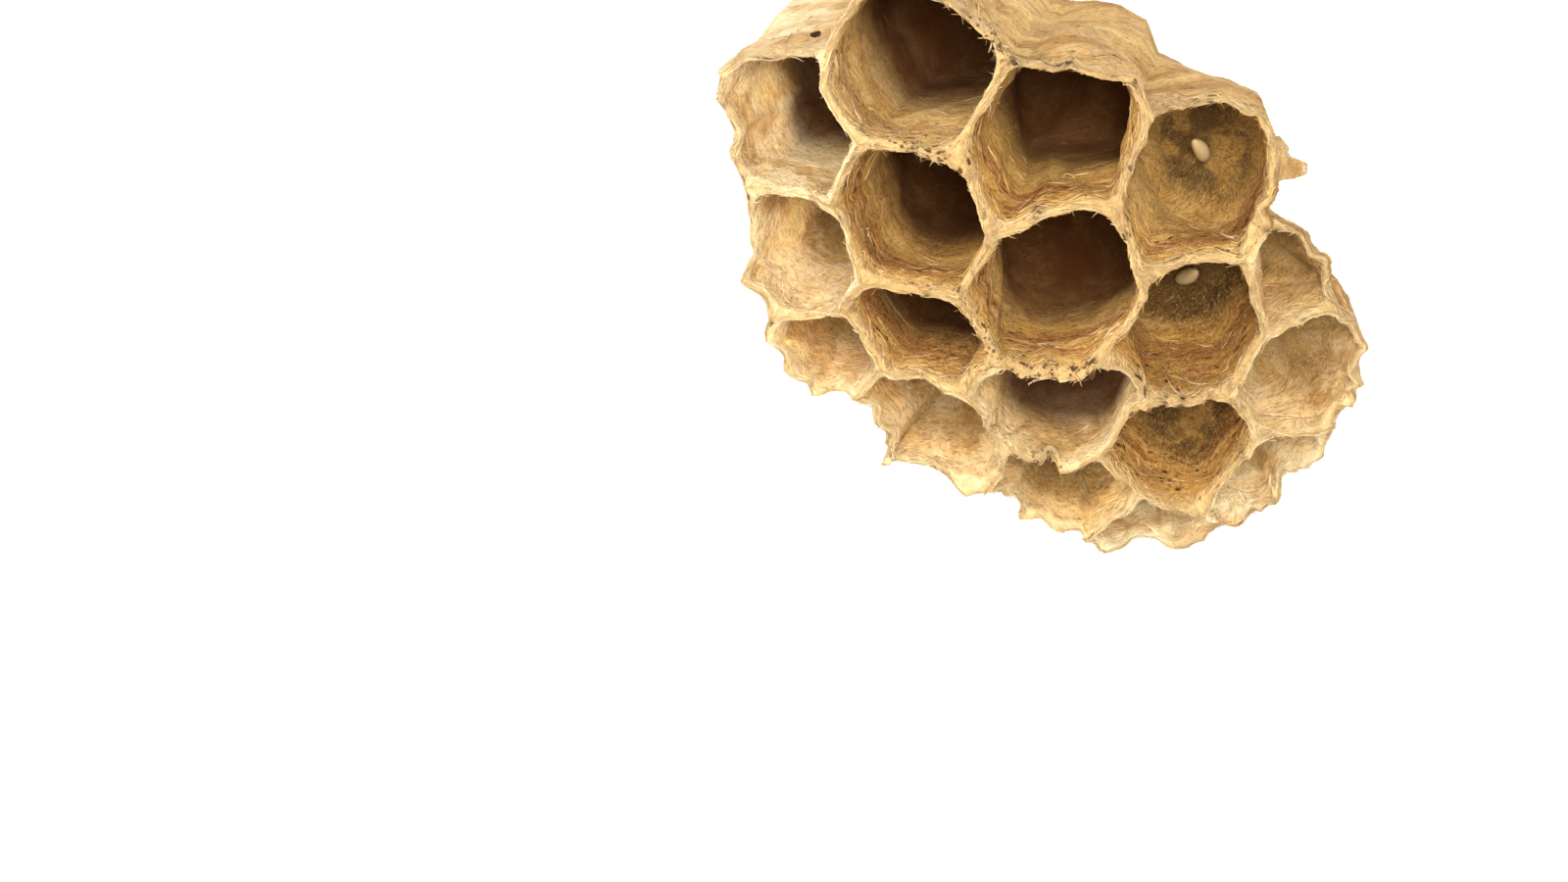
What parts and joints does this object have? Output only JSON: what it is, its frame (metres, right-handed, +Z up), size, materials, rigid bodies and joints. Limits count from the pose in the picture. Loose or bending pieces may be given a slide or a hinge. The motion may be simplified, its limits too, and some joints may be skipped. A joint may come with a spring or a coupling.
{
  "type": "paper wasp nest",
  "caption": "Open paper comb of hexagonal cells on one short stalk, laid on its stalk's cut end and lower margin with the cell mouths up, eggs in two shallow cells.",
  "frame": {"origin": "middle of the stalk's cut face, on the table that the nest lies on", "axes": "+Z up off the table, -Y towards the low margin of the comb where the newest cells are, +X to the right when the low margin is towards you"},
  "size_m": [0.0208, 0.0208, 0.0154],
  "materials": {
    "wood_pulp_paper": "matt, streaked with bands of grey, buff and reddish brown fibre",
    "egg_shell": "smooth and slightly pearly"
  },
  "bodies": {
    "root": {"nest": "wood_pulp_paper", "egg_upper": "egg_shell", "egg_lower": "egg_shell"}
  },
  "joints": []
}
